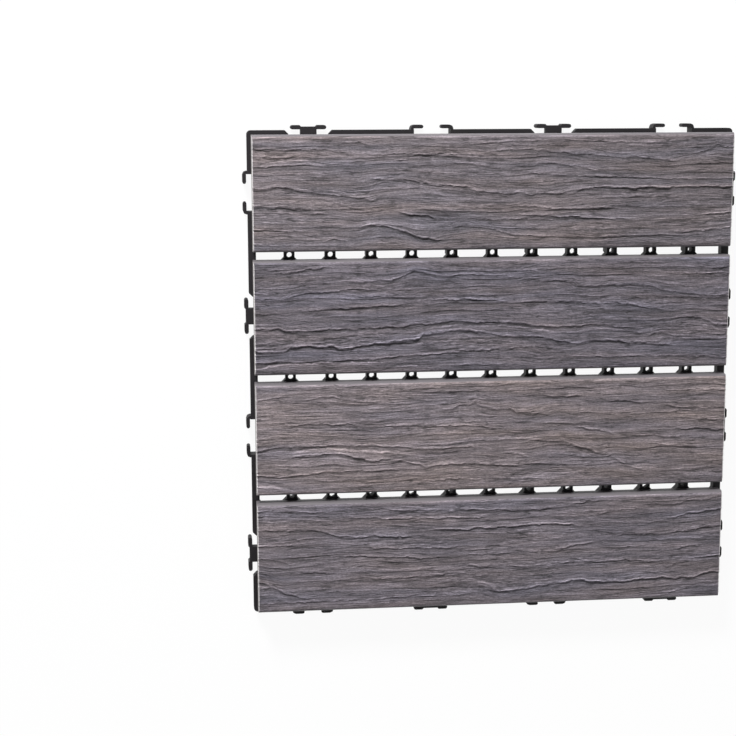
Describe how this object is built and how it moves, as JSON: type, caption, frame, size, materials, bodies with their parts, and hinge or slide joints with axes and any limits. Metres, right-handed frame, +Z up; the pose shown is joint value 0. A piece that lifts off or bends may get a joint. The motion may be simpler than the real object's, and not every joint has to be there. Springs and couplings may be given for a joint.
{
  "type": "interlocking deck tile",
  "caption": "Square outdoor deck tile: wood-grained composite slats screwed onto a black moulded base grid whose edge tabs and hooked sockets lock to the next tile.",
  "frame": {"origin": "on the ground, under the middle of the tile", "axes": "X along the slats, Y across them, Z up out of the walking face"},
  "size_m": [0.3052, 0.3052, 0.022],
  "materials": {
    "composite": "embossed wood grain, satin",
    "base_plastic": "moulded, semi-gloss",
    "screw_steel": "zinc plated"
  },
  "bodies": {
    "root": {"base_grid": "base_plastic", "slat_1": "composite", "slat_2": "composite", "slat_3": "composite", "slat_4": "composite", "slat_screws": "screw_steel"}
  },
  "joints": []
}
